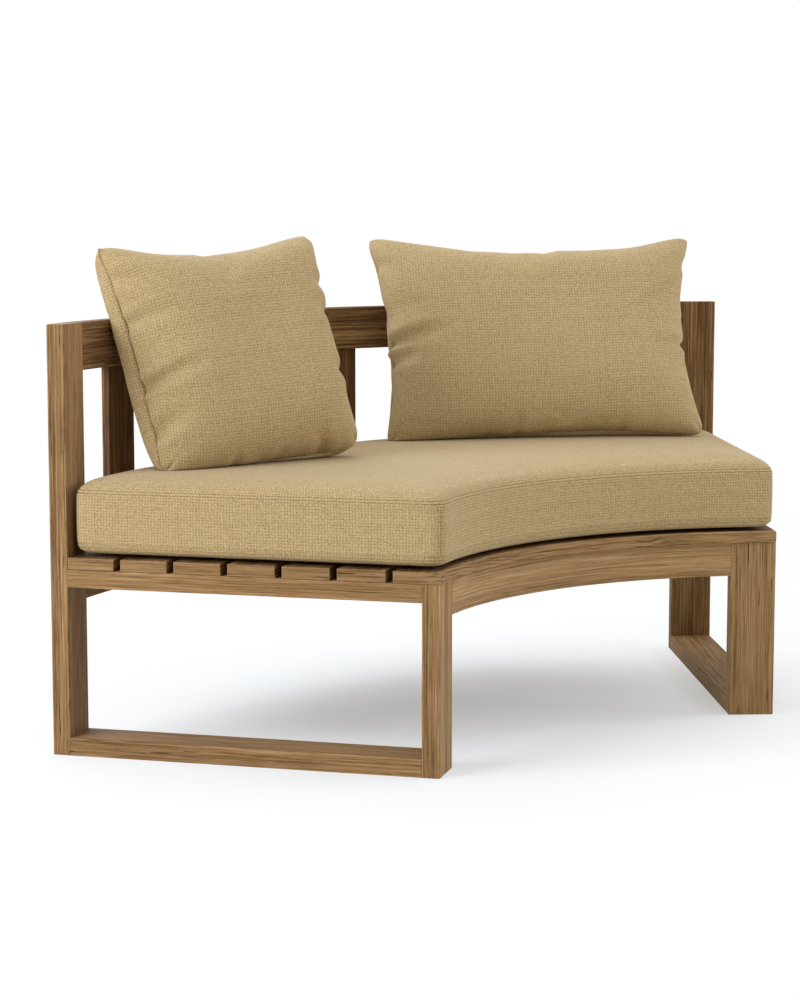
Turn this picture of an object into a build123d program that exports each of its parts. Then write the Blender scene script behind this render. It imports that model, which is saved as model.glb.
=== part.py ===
"""Curved teak bench: one segment of a round bench, with a seat cushion and two loose pillows.

Lengths are in millimetres and angles in degrees. Everything is laid out from the centre of the
circle that a full round of benches makes, and moved to the bench's own origin when it is written.
Left and right are as seen from that centre, where the bench faces: left is -X, right is +X.
An end frame has its own axes: outwards along the end of the bench, inwards from that end, and up.
"""
import os
from math import asin, cos, degrees, hypot, radians, sin, sqrt

from build123d import *

# Plan of the segment, measured along its two ends
segment_angle = 72.0
inner_radius = 660.0
outer_radius = 1320.0

# Heights above the floor
seat_frame_height = 311.0
back_height = 712.0

# Teak sections
board_width = 80.0
board_thickness = 30.0
apron_height = 60.0
top_rail_height = 79.0
edge_round = 1.2

# Seat slats
slat_count = 7
slat_thickness = 20.0
slat_gap = 11.0
slat_overhang = 3.0
slat_round = 2.0

# Inner bearers, between the two aprons
inner_bearer_angle = 12.0
inner_bearer_thickness = 30.0

# Uprights of the back
upright_count = 7
upright_width = 80.0
upright_thickness = 15.0
upright_end_gap = 107.0

# Tenons and their mortises
tenon_length = 20.0
tenon_thickness = 12.0
tenon_shoulder = 10.0
tenon_edge = 5.0
tenon_slack = 0.1
rail_tenon_length = 35.0
upright_tenon_length = 12.0
upright_tenon_shoulder = 10.0
bearer_tenon_length = 12.0

# Screws that hold the slats from below
screw_shank_diameter = 5.0
screw_head_diameter = 9.0
screw_head_height = 3.0
screw_bite = 14.0
screw_wood = 22.0
screw_edge_distance = 25.0
screw_clearance = 0.25
pilot_clearance = 0.05
counterbore_clearance = 1.0
drive_width = 3.0
drive_depth = 1.5

# Seat cushion
cushion_thickness = 121.0
cushion_crown = 9.0
cushion_edge = 22.0
cushion_corner_round = 8.0
cushion_front_overhang = 5.0
cushion_back_gap = 7.0
cushion_end_inset = 4.0

# Square pillow: tip to tip, with its place round the seat and how it is turned and leant
square_pillow_width = 410.0
square_pillow_height = 410.0
square_pillow_thickness = 160.0
square_pillow_angle = -20.7
square_pillow_turn_angle = -26.3
square_pillow_lean_angle = 22.6
square_pillow_roll_angle = 2.6

# Lumbar pillow
lumbar_pillow_width = 620.0
lumbar_pillow_height = 410.0
lumbar_pillow_thickness = 144.0
lumbar_pillow_angle = 16.4
lumbar_pillow_turn_angle = -13.7
lumbar_pillow_lean_angle = 23.7
lumbar_pillow_roll_angle = 0.8

# Fabric, and the room that soft pieces keep
fabric_thickness = 1.5
soft_clearance = 0.3
filling_clearance = 0.3

# Side of the seat cushion, from the slats up: share of its thickness, share of its edge rounding
cushion_side_shares = (
    (0.0, 0.80), (0.025, 0.45), (0.08, 0.20), (0.20, 0.05), (0.50, 0.0),
    (0.78, 0.06), (0.90, 0.24), (0.965, 0.52), (1.0, 0.95),
)
# Crown of the seat cushion: share of its depth from the edge, share of the crown's height
cushion_crown_shares = ((0.10, 0.45), (0.20, 0.75), (0.32, 0.93), (0.44, 1.0))
# Pillow, from its seam to its crown. Each row holds shares of half its shorter side: how far a corner
# and the middle of a side lie in from the tips, and the corner's rounding. The last value is the
# share of half the thickness that is reached there
pillow_shares = (
    (0.0, 0.10, 0.06, 0.0), (0.06, 0.105, 0.14, 0.17), (0.13, 0.14, 0.24, 0.36),
    (0.23, 0.22, 0.34, 0.56), (0.38, 0.36, 0.38, 0.76), (0.57, 0.54, 0.32, 0.91), (0.80, 0.76, 0.16, 1.0),
)
# How far the middle of a quarter round lies from its corner towards the chord, as a share
quarter_round_share = 2 - sqrt(2)
# Places along an edge where a pillow's outline is measured against what it touches, and how often
# its place is put right
edge_steps = 12
edge_sample_shares = [step / edge_steps for step in range(edge_steps + 1)]
settling_rounds = 12

# Worked out from the sizes above
half_angle = segment_angle / 2
centre_y = -(inner_radius * cos(radians(half_angle)) + outer_radius) / 2
leg_back = inner_radius + board_thickness
post_front = outer_radius - board_thickness
apron_bottom = seat_frame_height - apron_height
bearer_bottom = seat_frame_height - board_thickness
front_apron_radius = hypot(inner_radius, board_width)
front_apron_back = front_apron_radius + board_thickness
back_radius = hypot(outer_radius, board_width)
back_front_radius = back_radius - board_thickness
upright_radius = back_radius - board_thickness / 2
rail_bottom = back_height - top_rail_height
seat_top = seat_frame_height + slat_thickness
slat_front = inner_radius - slat_overhang
slat_width = (post_front - slat_front - (slat_count - 1) * slat_gap) / slat_count
cushion_bottom = seat_top + soft_clearance
cushion_front = inner_radius - cushion_front_overhang
cushion_back = post_front - cushion_back_gap


def block(low, high):
    """A straight block between two opposite corners."""
    size = Vector(*high) - Vector(*low)
    corner_aligned = (Align.MIN, Align.MIN, Align.MIN)
    return Pos(*low) * Box(*size, align=corner_aligned)


def board(low, high, axis=None, round_over=edge_round):
    """A block with eased edges: those along one axis, or all of them."""
    blank = block(low, high)
    edges = blank.edges().filter_by(axis) if axis else blank.edges()
    return fillet(edges, round_over)


class Tongue:
    """A tenon given by two opposite corners, and the mortise that takes it."""

    def __init__(self, low, high):
        self.low, self.high = low, high

    def tenon(self):
        return block(self.low, self.high)

    def mortise(self):
        low = [value - tenon_slack for value in self.low]
        high = [value + tenon_slack for value in self.high]
        return block(low, high)


def spoke(angle):
    """Axes at an angle round the circle: outwards, then along the circle, then up."""
    outwards = (sin(radians(angle)), cos(radians(angle)), 0)
    return Plane(origin=(0, 0, 0), x_dir=outwards, z_dir=(0, 0, 1))


def on_right(shape):
    """A shape of an end frame's own axes, at the right end."""
    return spoke(half_angle) * shape


def on_left(shape):
    """The same shape at the left end, which mirrors the right one."""
    return mirror(on_right(shape), about=Plane.YZ)


def end_point(radius, inwards, side):
    """The point on a circle that lies this far inwards of the left (-1) or right (1) end."""
    out = sqrt(radius**2 - inwards**2)
    along, across = sin(radians(half_angle)), cos(radians(half_angle))
    return Vector(side * (out * along - inwards * across), out * across + inwards * along)


def curved_board(inner, outer, bottom, top, inwards, round_over=edge_round, ends=False):
    """A board bent along the circle, cut off parallel to the bench's ends."""
    left_in, right_in = end_point(inner, inwards, -1), end_point(inner, inwards, 1)
    left_out, right_out = end_point(outer, inwards, -1), end_point(outer, inwards, 1)
    outline = [
        ThreePointArc(left_in, (0, inner), right_in),
        Line(right_in, right_out),
        ThreePointArc(right_out, (0, outer), left_out),
        Line(left_out, left_in),
    ]
    blank = Pos(0, 0, bottom) * extrude(make_face(outline), top - bottom)
    edges = blank.edges() if ends else blank.edges().filter_by(GeomType.CIRCLE)
    return fillet(edges, round_over)


# Where the pieces of an end frame meet, in its own axes
def flat_tongue(start, end, bottom):
    """The tenon of a board that lies flat between a leg and a post."""
    middle = bottom + board_thickness / 2
    low = (start, tenon_shoulder, middle - tenon_thickness / 2)
    high = (end, board_width - tenon_shoulder, middle + tenon_thickness / 2)
    return Tongue(low, high)


def curved_tongue(front, bottom, top):
    """The tenon of a curved board, which enters the side of a leg or a post."""
    start = front + (board_thickness - tenon_thickness) / 2
    low = (start, board_width - rail_tenon_length, bottom)
    high = (start + tenon_thickness, board_width + tenon_edge, top)
    return Tongue(low, high)


apron_tenon_bottom = apron_bottom + tenon_edge
apron_tenon_top = bearer_bottom
runner_tongues = (
    flat_tongue(leg_back - tenon_length, leg_back, 0),
    flat_tongue(post_front, post_front + tenon_length, 0),
)
bearer_tongues = (
    flat_tongue(leg_back - tenon_length, leg_back, bearer_bottom),
    flat_tongue(post_front, post_front + tenon_length, bearer_bottom),
)
front_apron_tongue = curved_tongue(inner_radius, apron_tenon_bottom, apron_tenon_top)
back_apron_tongue = curved_tongue(post_front, apron_tenon_bottom, apron_tenon_top)
rail_tongue = curved_tongue(post_front, rail_bottom + tenon_shoulder, back_height - tenon_shoulder)


def front_leg():
    leg = board((inner_radius, 0, 0), (leg_back, board_width, seat_frame_height))
    for tongue in (runner_tongues[0], bearer_tongues[0], front_apron_tongue):
        leg -= tongue.mortise()
    return leg


def back_post():
    post = board((post_front, 0, 0), (outer_radius, board_width, back_height))
    for tongue in (runner_tongues[1], bearer_tongues[1], back_apron_tongue, rail_tongue):
        post -= tongue.mortise()
    return post


def bottom_runner():
    runner = board((leg_back, 0, 0), (post_front, board_width, board_thickness), Axis.X)
    for tongue in runner_tongues:
        runner += tongue.tenon()
    return runner


def seat_bearer():
    bearer = board((leg_back, 0, bearer_bottom), (post_front, board_width, seat_frame_height), Axis.X)
    for tongue in bearer_tongues:
        bearer += tongue.tenon()
    for place in screw_places:
        bearer -= Pos(place, board_width / 2, 0) * screw_hole(bearer_bottom)
    return bearer


# Slats and the screws that hold them
def slat_inner_radius(index):
    return slat_front + index * (slat_width + slat_gap)


def screw_place(index):
    """Radius of a slat's screws: its middle, but not too near the end of the side bearer."""
    middle = slat_inner_radius(index) + slat_width / 2
    return min(max(middle, leg_back + screw_edge_distance), post_front - screw_edge_distance)


screw_places = [screw_place(index) for index in range(slat_count)]
screw_head_top = seat_frame_height - screw_wood


def upright_cylinder(radius, bottom, top):
    return Pos(0, 0, bottom) * Cylinder(radius, top - bottom, align=(Align.CENTER, Align.CENTER, Align.MIN))


def screw_hole(bottom):
    """The clearance hole and counterbore in a bearer whose underside is at this height."""
    shank = upright_cylinder(screw_shank_diameter / 2 + screw_clearance, bottom, seat_frame_height)
    bore = upright_cylinder(screw_head_diameter / 2 + counterbore_clearance, bottom, screw_head_top)
    return shank + bore


def slat_screw():
    head_bottom = screw_head_top - screw_head_height
    shank = upright_cylinder(screw_shank_diameter / 2, screw_head_top, seat_frame_height + screw_bite)
    head = upright_cylinder(screw_head_diameter / 2, head_bottom, screw_head_top)
    half_drive, drive_top = drive_width / 2, head_bottom + drive_depth
    drive = block((-half_drive, -half_drive, head_bottom), (half_drive, half_drive, drive_top))
    return shank + head - drive


def at_bearers(shape, place):
    """A shape at one radius, over the left and right side bearers and the two inner ones."""
    over_side = Pos(place, board_width / 2, 0) * shape
    inner = [spoke(side * inner_bearer_angle) * Pos(place, 0, 0) * shape for side in (-1, 1)]
    return [on_left(over_side), *inner, on_right(over_side)]


def seat_slat(index):
    inner = slat_inner_radius(index)
    slat = curved_board(inner, inner + slat_width, seat_frame_height, seat_top, 0, slat_round, ends=True)
    pilot_radius = screw_shank_diameter / 2 + pilot_clearance
    pilot_top = seat_frame_height + screw_bite + pilot_clearance
    pilot = upright_cylinder(pilot_radius, seat_frame_height, pilot_top)
    for hole in at_bearers(pilot, screw_places[index]):
        slat -= hole
    return slat


def slat_screws():
    screw = slat_screw()
    return [placed for place in screw_places for placed in at_bearers(screw, place)]


# Inner bearers run between the aprons
def inner_bearer_tongues():
    half = tenon_thickness / 2
    low, high = apron_bottom + tenon_shoulder, seat_frame_height - tenon_shoulder
    front_start, front_end = front_apron_back - bearer_tenon_length, front_apron_back + tenon_edge
    back_start, back_end = back_front_radius - tenon_edge, back_front_radius + bearer_tenon_length
    front = Tongue((front_start, -half, low), (front_end, half, high))
    back = Tongue((back_start, -half, low), (back_end, half, high))
    return front, back


def inner_bearer(side):
    half = inner_bearer_thickness / 2
    blank = board((leg_back, -half, apron_bottom), (outer_radius, half, seat_frame_height), Axis.X)
    between = upright_cylinder(back_front_radius, apron_bottom, seat_frame_height)
    between -= upright_cylinder(front_apron_back, apron_bottom, seat_frame_height)
    bearer = blank & between
    for tongue in inner_bearer_tongues():
        bearer += tongue.tenon()
    for place in screw_places:
        bearer -= Pos(place, 0, 0) * screw_hole(apron_bottom)
    return spoke(side * inner_bearer_angle) * bearer


# Uprights stand on the back apron and carry the top rail
def upright_angles():
    """Angles of the uprights, evenly pitched between one gap from each post."""
    post_face = asin(board_width / upright_radius)
    gap_and_half = (upright_end_gap + upright_width / 2) / upright_radius
    last = half_angle - degrees(post_face + gap_and_half)
    pitch = 2 * last / (upright_count - 1)
    return [index * pitch - last for index in range(upright_count)]


def upright_tongues():
    half = upright_width / 2 - upright_tenon_shoulder
    front, back = upright_radius - upright_thickness / 2, upright_radius + upright_thickness / 2
    foot = Tongue((front, -half, seat_frame_height - upright_tenon_length), (back, half, seat_frame_height))
    head = Tongue((front, -half, rail_bottom), (back, half, rail_bottom + upright_tenon_length))
    return foot, head


def back_upright(angle):
    front, back = upright_radius - upright_thickness / 2, upright_radius + upright_thickness / 2
    half = upright_width / 2
    upright = board((front, -half, seat_frame_height), (back, half, rail_bottom), Axis.Z)
    for tongue in upright_tongues():
        upright += tongue.tenon()
    return spoke(angle) * upright


# Curved boards with their tenons and mortises
def with_end_tenons(rail, tongue):
    return rail + on_left(tongue.tenon()) + on_right(tongue.tenon())


def front_apron():
    apron = curved_board(front_apron_radius, front_apron_back, apron_bottom, seat_frame_height, board_width)
    apron = with_end_tenons(apron, front_apron_tongue)
    for side in (-1, 1):
        apron -= spoke(side * inner_bearer_angle) * inner_bearer_tongues()[0].mortise()
    return apron


def back_apron():
    apron = curved_board(back_front_radius, back_radius, apron_bottom, seat_frame_height, board_width)
    apron = with_end_tenons(apron, back_apron_tongue)
    for side in (-1, 1):
        apron -= spoke(side * inner_bearer_angle) * inner_bearer_tongues()[1].mortise()
    for angle in upright_angles():
        apron -= spoke(angle) * upright_tongues()[0].mortise()
    return apron


def top_rail():
    rail = curved_board(back_front_radius, back_radius, rail_bottom, back_height, board_width)
    rail = with_end_tenons(rail, rail_tongue)
    for angle in upright_angles():
        rail -= spoke(angle) * upright_tongues()[1].mortise()
    return rail


# Soft pieces are stacks of closed outlines with rounded corners
def rounded_outline(corners, middles, rounding, height):
    """Sides through four middles, joined by quarter rounds just inside four corners."""
    starts, ends = [], []
    for index, corner in enumerate(corners):
        before, after = middles[index - 1], middles[index]
        starts.append(corner + (after - corner).normalized() * rounding)
        ends.append(corner + (before - corner).normalized() * rounding)
    edges = []
    for index, corner in enumerate(corners):
        chord_middle = (starts[index] + ends[index]) / 2
        bend = corner + (chord_middle - corner) * quarter_round_share
        following = (index + 1) % len(corners)
        edges.append(ThreePointArc(ends[index], bend, starts[index]))
        edges.append(ThreePointArc(starts[index], middles[index], ends[following]))
    return [Pos(0, 0, height) * edge for edge in edges]


def stack(outlines):
    """The solid through a stack of outlines."""
    return Solid.make_loft([Wire(outline) for outline in outlines], ruled=True)


def cushion_levels():
    """Height of each outline of the seat cushion, and how far it lies in from the widest one."""
    side = [(height * cushion_thickness, inset * cushion_edge) for height, inset in cushion_side_shares]
    depth = cushion_back - cushion_front
    crown = [
        (cushion_thickness + rise * cushion_crown, cushion_edge + inset * (depth - 2 * cushion_edge))
        for inset, rise in cushion_crown_shares
    ]
    return side + crown


def cushion_outline(inset, height):
    """The seat's plan, drawn in all round by the inset."""
    inner, outer = cushion_front + inset, cushion_back - inset
    end = cushion_end_inset + inset
    corners = [
        end_point(inner, end, -1), end_point(inner, end, 1),
        end_point(outer, end, 1), end_point(outer, end, -1),
    ]
    bow = cushion_corner_round / 2
    right = (corners[1] + corners[2]) / 2
    left = (corners[3] + corners[0]) / 2
    right += (right - left).normalized() * bow
    left += (left - right).normalized() * bow
    middles = [Vector(0, inner), right, Vector(0, outer), left]
    rounding = min(cushion_corner_round + inset / 2, (outer - inner) / 4)
    return rounded_outline(corners, middles, rounding, height)


def cushion_form(skin):
    """The seat cushion's outer form, or that form this far inside its fabric."""
    outlines = []
    for height, inset in cushion_levels():
        rise = cushion_bottom + skin + height * (1 - 2 * skin / cushion_thickness)
        outlines.append(cushion_outline(inset + skin, rise))
    return stack(outlines)


def cushion_top(x, y):
    """Height of the seat cushion's upper side over a place, or the slats' where it ends."""
    along, across = sin(radians(half_angle)), cos(radians(half_angle))
    radius = hypot(x, y)
    ends = [side * -x * across + y * along for side in (-1, 1)]
    inset = min(radius - cushion_front, cushion_back - radius, min(ends) - cushion_end_inset)
    levels = [level for level in cushion_levels() if level[0] >= cushion_thickness / 2]
    if inset < 0:
        return seat_top
    for (low, low_inset), (high, high_inset) in zip(levels, levels[1:]):
        if inset <= high_inset:
            share = (inset - low_inset) / (high_inset - low_inset)
            return cushion_bottom + low + share * (high - low)
    return cushion_bottom + levels[-1][0]


def pillow_outlines(width, height, thickness, skin):
    """Outlines of a pillow from its back's crown over the seam to its front's crown."""
    half_width, half_height, half_thickness = width / 2 - skin, height / 2 - skin, thickness / 2 - skin
    shorter = min(half_width, half_height)
    outlines = []
    back_rows = [(row, -1) for row in reversed(pillow_shares[1:])]
    front_rows = [(row, 1) for row in pillow_shares]
    for (corner_share, middle_share, round_share, rise_share), side in back_rows + front_rows:
        corner_in, middle_in = corner_share * shorter, middle_share * shorter
        x, y = half_width - corner_in, half_height - corner_in
        corners = [Vector(x, -y), Vector(x, y), Vector(-x, y), Vector(-x, -y)]
        across, up = half_width - middle_in, half_height - middle_in
        middles = [Vector(across, 0), Vector(0, up), Vector(-across, 0), Vector(0, -up)]
        rounding = round_share * shorter
        outlines.append(rounded_outline(corners, middles, rounding, side * rise_share * half_thickness))
    return outlines


def pillow_plane(radius, lift, angle, turn, lean, roll):
    """The pillow's own plane: it faces the circle's centre, then turns, leans back and rolls."""
    heading = radians(turn - angle)
    facing = Vector(sin(heading), -cos(heading), 0)
    sideways = Vector(cos(heading), sin(heading), 0)
    up = Vector(0, 0, 1)
    front = facing * cos(radians(lean)) + up * sin(radians(lean))
    top = up * cos(radians(lean)) - facing * sin(radians(lean))
    right = sideways * cos(radians(roll)) + top * sin(radians(roll))
    centre = (radius * sin(radians(angle)), radius * cos(radians(angle)), lift)
    return Plane(origin=centre, x_dir=right, z_dir=front)


def reach_back(rows):
    """How far from the circle's centre these rows of points reach below the rail's top."""
    reach = 0
    for row, following in zip(rows, rows[1:]):
        for one, two in zip(row, following):
            pair = [one, two]
            if (one.Z - back_height) * (two.Z - back_height) < 0:
                share = (back_height - one.Z) / (two.Z - one.Z)
                pair.append(one + (two - one) * share)
            for point in pair:
                if point.Z <= back_height:
                    reach = max(reach, hypot(point.X, point.Y))
    return reach


def settle(outlines, angle, turn, lean, roll):
    """The plane of a pillow that rests on the seat cushion and leans on the top rail."""
    rows = [[edge @ share for edge in outline for share in edge_sample_shares] for outline in outlines]
    radius, lift = cushion_back, back_height
    for _ in range(settling_rounds):
        plane = pillow_plane(radius, lift, angle, turn, lean, roll)
        placed = [[plane.from_local_coords(point) for point in row] for row in rows]
        drop = min(point.Z - cushion_top(point.X, point.Y) for row in placed for point in row)
        lift += soft_clearance - drop
        radius += back_front_radius - soft_clearance - reach_back(placed)
    return pillow_plane(radius, lift, angle, turn, lean, roll)


def pillow_pieces(width, height, thickness, angle, turn, lean, roll):
    """A pillow's cover and the pad inside it."""
    outer = pillow_outlines(width, height, thickness, 0)
    inner = pillow_outlines(width, height, thickness, fabric_thickness)
    filling = pillow_outlines(width, height, thickness, fabric_thickness + filling_clearance)
    plane = settle(outer, angle, turn, lean, roll)
    cover = stack(outer) - stack(inner)
    return plane * cover, plane * stack(filling)


def write(shape, name):
    """Write one node, moved from the circle's centre to the bench's own origin."""
    solids = shape if isinstance(shape, list) else [shape]
    pieces = [Pos(0, centre_y, 0) * piece for solid in solids for piece in solid.solids()]
    node = pieces[0] if len(pieces) == 1 else Compound(pieces)
    export_step(node, f"parts/{name}.step")


def main():
    os.makedirs("parts", exist_ok=True)
    frame_makers = (front_leg, back_post, bottom_runner, seat_bearer)
    for maker in frame_makers:
        piece = maker()
        write(on_left(piece), f"left_{maker.__name__}")
        write(on_right(piece), f"right_{maker.__name__}")
    write(front_apron(), "front_apron")
    write(back_apron(), "back_apron")
    write(top_rail(), "top_rail")
    write(inner_bearer(-1), "left_inner_bearer")
    write(inner_bearer(1), "right_inner_bearer")
    for index, angle in enumerate(upright_angles()):
        write(back_upright(angle), f"back_upright_{index + 1}")
    for index in range(slat_count):
        write(seat_slat(index), f"seat_slat_{index + 1}")
    write(slat_screws(), "slat_screws")

    write(cushion_form(0) - cushion_form(fabric_thickness), "seat_cushion_cover")
    write(cushion_form(fabric_thickness + filling_clearance), "seat_cushion_foam")
    cover, pad = pillow_pieces(
        square_pillow_width, square_pillow_height, square_pillow_thickness,
        square_pillow_angle, square_pillow_turn_angle, square_pillow_lean_angle, square_pillow_roll_angle,
    )
    write(cover, "square_pillow_cover")
    write(pad, "square_pillow_pad")
    cover, pad = pillow_pieces(
        lumbar_pillow_width, lumbar_pillow_height, lumbar_pillow_thickness,
        lumbar_pillow_angle, lumbar_pillow_turn_angle, lumbar_pillow_lean_angle, lumbar_pillow_roll_angle,
    )
    write(cover, "lumbar_pillow_cover")
    write(pad, "lumbar_pillow_pad")


main()
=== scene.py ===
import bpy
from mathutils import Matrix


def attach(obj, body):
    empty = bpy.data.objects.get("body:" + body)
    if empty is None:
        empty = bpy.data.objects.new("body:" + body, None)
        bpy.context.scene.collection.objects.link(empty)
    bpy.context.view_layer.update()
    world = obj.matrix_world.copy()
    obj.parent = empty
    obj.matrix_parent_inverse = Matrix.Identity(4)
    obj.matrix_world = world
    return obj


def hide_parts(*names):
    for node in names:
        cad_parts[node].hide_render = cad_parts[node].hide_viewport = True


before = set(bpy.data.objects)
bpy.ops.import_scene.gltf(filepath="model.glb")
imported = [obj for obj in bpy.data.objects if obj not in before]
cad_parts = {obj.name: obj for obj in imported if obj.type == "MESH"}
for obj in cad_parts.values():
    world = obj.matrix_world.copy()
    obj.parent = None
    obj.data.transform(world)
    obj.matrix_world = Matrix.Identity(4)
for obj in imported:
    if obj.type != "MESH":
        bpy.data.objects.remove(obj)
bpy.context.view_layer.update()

from math import atan2, cos, hypot, pi, radians, sin

import bpy
import numpy as np

# Lengths are in metres, angles in degrees. Left and right are as seen from the centre of the round.
MM = 0.001

# The bench, as it is built
half_angle = 36.0
inner_radius = 0.660
outer_radius = 1.320
centre_y = -(inner_radius * cos(radians(half_angle)) + outer_radius) / 2
board_width = 0.080
board_thickness = 0.030
seat_frame_height = 0.311
back_height = 0.712
slat_count = 7
slat_thickness = 0.020
slat_gap = 0.011
slat_overhang = 0.003
inner_bearer_angle = 12.0
upright_count = 7
upright_pitch = 10.3
slat_front = inner_radius - slat_overhang
seat_depth = outer_radius - board_thickness - slat_front
slat_width = (seat_depth - (slat_count - 1) * slat_gap) / slat_count
seat_top = seat_frame_height + slat_thickness
front_apron_radius = hypot(inner_radius, board_width)
back_radius = hypot(outer_radius, board_width)

# How a finish is written

# A Mix node has sockets of several kinds under the same names, so its colours go by number
first_colour, second_colour, mixed_colour = 6, 7, 2


def adds(operation):
    """A method that adds a Math node to a value."""
    return lambda value, *others: value.finish.math(operation, value, *others)


class Value:
    """A number that changes over a surface. Sums and products of it add Math nodes."""

    def __init__(self, finish, output):
        self.finish, self.output = finish, output

    def __rsub__(self, other):
        return self.finish.math("SUBTRACT", other, self)

    __add__ = __radd__ = adds("ADD")
    __mul__ = __rmul__ = adds("MULTIPLY")
    __sub__, __truediv__, __pow__ = adds("SUBTRACT"), adds("DIVIDE"), adds("POWER")
    __abs__, sine, root = adds("ABSOLUTE"), adds("SINE"), adds("SQRT")
    floor, greater = adds("FLOOR"), adds("MAXIMUM")

    def over(self, low, high):
        """0 below low, 1 above high and a smooth step between; low above high turns it round."""
        limits = {"Value": self, "From Min": low, "From Max": high}
        return self.finish.value("MapRange", limits, interpolation_type="SMOOTHSTEP")

    def spread(self, low, high):
        """A noise, most of which lies between 0.3 and 0.7, stretched from low to high."""
        return self.finish.value("MapRange", {
            "Value": self, "From Min": 0.3, "From Max": 0.7, "To Min": low, "To Max": high,
        })


class Finish:
    """One material, or the world's. The values set on its main shader are constants or links."""

    def __init__(self, name, owners=bpy.data.materials, **surface):
        owner = owners.new(name)
        owner.use_nodes = True
        self.owner, self.tree = owner, owner.node_tree
        kinds = "BSDF_PRINCIPLED", "BACKGROUND"
        self.surface = next(node for node in self.tree.nodes if node.type in kinds)
        self.set(self.surface, surface)

    def node(self, kind, inputs=None, **settings):
        """A shader node of a kind: its settings, then its sockets' values or links."""
        node = self.tree.nodes.new("ShaderNode" + kind)
        for key, value in settings.items():
            setattr(node, key, value)
        self.set(node, inputs or {})
        return node

    def set(self, node, inputs):
        for key, value in inputs.items():
            socket = node.inputs[key]
            if isinstance(value, Value):
                value = value.output
            if isinstance(value, bpy.types.NodeSocket):
                self.tree.links.new(value, socket)
            else:
                socket.default_value = value

    def value(self, kind, inputs, output=0, **settings):
        return Value(self, self.node(kind, inputs, **settings).outputs[output])

    def math(self, operation, *inputs):
        return self.value("Math", dict(enumerate(inputs)), operation=operation)

    def axes(self, source):
        """The three parts of a vector."""
        parts = self.node("SeparateXYZ", {"Vector": source})
        return [Value(self, part) for part in parts.outputs]

    def place(self):
        """The three parts of a point's place in its object."""
        return self.axes(self.node("TexCoord").outputs["Object"])

    def seen(self):
        """1 for what the camera sees, straight, mirrored or through glass, and 0 for the rest."""
        rays = self.node("LightPath").outputs
        kinds = "Is Camera Ray", "Is Glossy Ray", "Is Transmission Ray"
        straight, mirrored, through = (Value(self, rays[kind]) for kind in kinds)
        return straight.greater(mirrored).greater(through)

    def noise(self, x, y, z, detail=2.0, roughness=0.5):
        """Noise at a point whose axes are already scaled to the size of its spots."""
        point = self.node("CombineXYZ", {"X": x, "Y": y, "Z": z}).outputs[0]
        return self.value("TexNoise", {
            "Vector": point, "Scale": 1.0, "Detail": detail, "Roughness": roughness,
        }, noise_dimensions="3D")

    def chance(self, number):
        """A steady random number for each whole number."""
        return self.value("TexWhiteNoise", {"W": number}, noise_dimensions="1D")

    def ramp(self, factor, stops):
        node = self.node("ValToRGB", {"Fac": factor})
        ramp = node.color_ramp
        while len(ramp.elements) < len(stops):
            ramp.elements.new(1.0)
        for element, (place, colour) in zip(ramp.elements, stops):
            element.position, element.color = place, (*colour, 1.0)
        return node.outputs["Color"]

    def mix(self, factor, one, two, blend="MIX"):
        """Colour one, turned to colour two by the factor."""
        one, two = ((*side, 1.0) if isinstance(side, tuple) else side for side in (one, two))
        mixed = self.node("Mix", {0: factor, first_colour: one, second_colour: two},
                          data_type="RGBA", blend_type=blend)
        return mixed.outputs[mixed_colour]

    def bump(self, height, distance, strength):
        inputs = {"Height": height, "Distance": distance, "Strength": strength}
        return self.node("Bump", inputs).outputs[0]


# Teak: colours from the dark late wood to the pale worn fibres
teak_tones = (
    (0.00, (0.052, 0.023, 0.007)),
    (0.25, (0.135, 0.070, 0.026)),
    (0.50, (0.262, 0.156, 0.068)),
    (0.75, (0.370, 0.236, 0.114)),
    (1.00, (0.490, 0.340, 0.186)),
)
middle_tone = 0.545
warm_tint, warm_share = (1.08, 0.96, 0.84), 0.30

# Layers of its grain: spots to a metre along it and across it, and the noise's detail and roughness
sway_layer = 3.1, 11.0, 2.0, 0.5
band_layer = 1.6, 34.0, 2.0, 0.5
streak_layer = 4.0, 290.0, 3.0, 0.6
fibre_layer = 13.0, 620.0, 2.0, 0.6
pore_layer = 70.0, 1150.0, 1.0, 0.5
check_layer = 13.0, 190.0, 1.0, 0.5
bend_layer = 9.0, 20.0, 2.0, 0.5
break_layer = 9.0, 9.0, 1.0, 0.5
patch_layer = 21.0, 60.0, 2.0, 0.5
warm_layer = 1.3, 8.0, 1.0, 0.5
check_shift, warm_shift = 4.0, 3.1
seed_along, seed_across = 7.31, 0.17

# How far the grain sways, on plain wood and more on figured wood, across v and across w
plain_sway, figured_sway = (0.006, 0.004), (0.024, 0.022)

# Figured lines: their pitch across the grain, their slants along u and across it, and their bends
line_pitch = 0.0085
line_slant, line_cross, line_bend = 0.07, 1.2, 0.034

# How many steps of tone each of these makes the wood darker or paler
band_tone, streak_tone, fibre_tone = 0.62, 1.20, 1.00
pore_tone, check_tone, line_tone, cut_tone = 0.13, 0.42, 0.42, 0.03
# Pale edges are partly wear and partly a painted highlight along the arrises
wear_and_highlight_tone, joint_tone = 0.30, 0.34
# Painted shade on the slats under the cushion: their tops and the sides in their gaps
painted_shade_top_tone, painted_shade_side_tone = 0.30, 0.38

# Distances from an edge between which wear, with a painted highlight, and a joint's dark line
# fade, and where the slats' painted shade begins behind their front edge
wear_and_highlight_reach, joint_reach = (0.0030, 0.0008), (0.0011, 0.0005)
painted_shade_from, painted_shade_to = 0.006, 0.014


def grain_axes(x, y, z, turn, upright):
    """The way along a straight member's grain, u, and the two ways across it, v and w.

    They are the bench's plan turned to the member, and its height, which is an upright's u.
    """
    along_x, along_y = sin(radians(turn)), cos(radians(turn))
    along, across = x * along_x + y * along_y, x * along_y - y * along_x
    return (z, across, along) if upright else (along, across, z)


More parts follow.
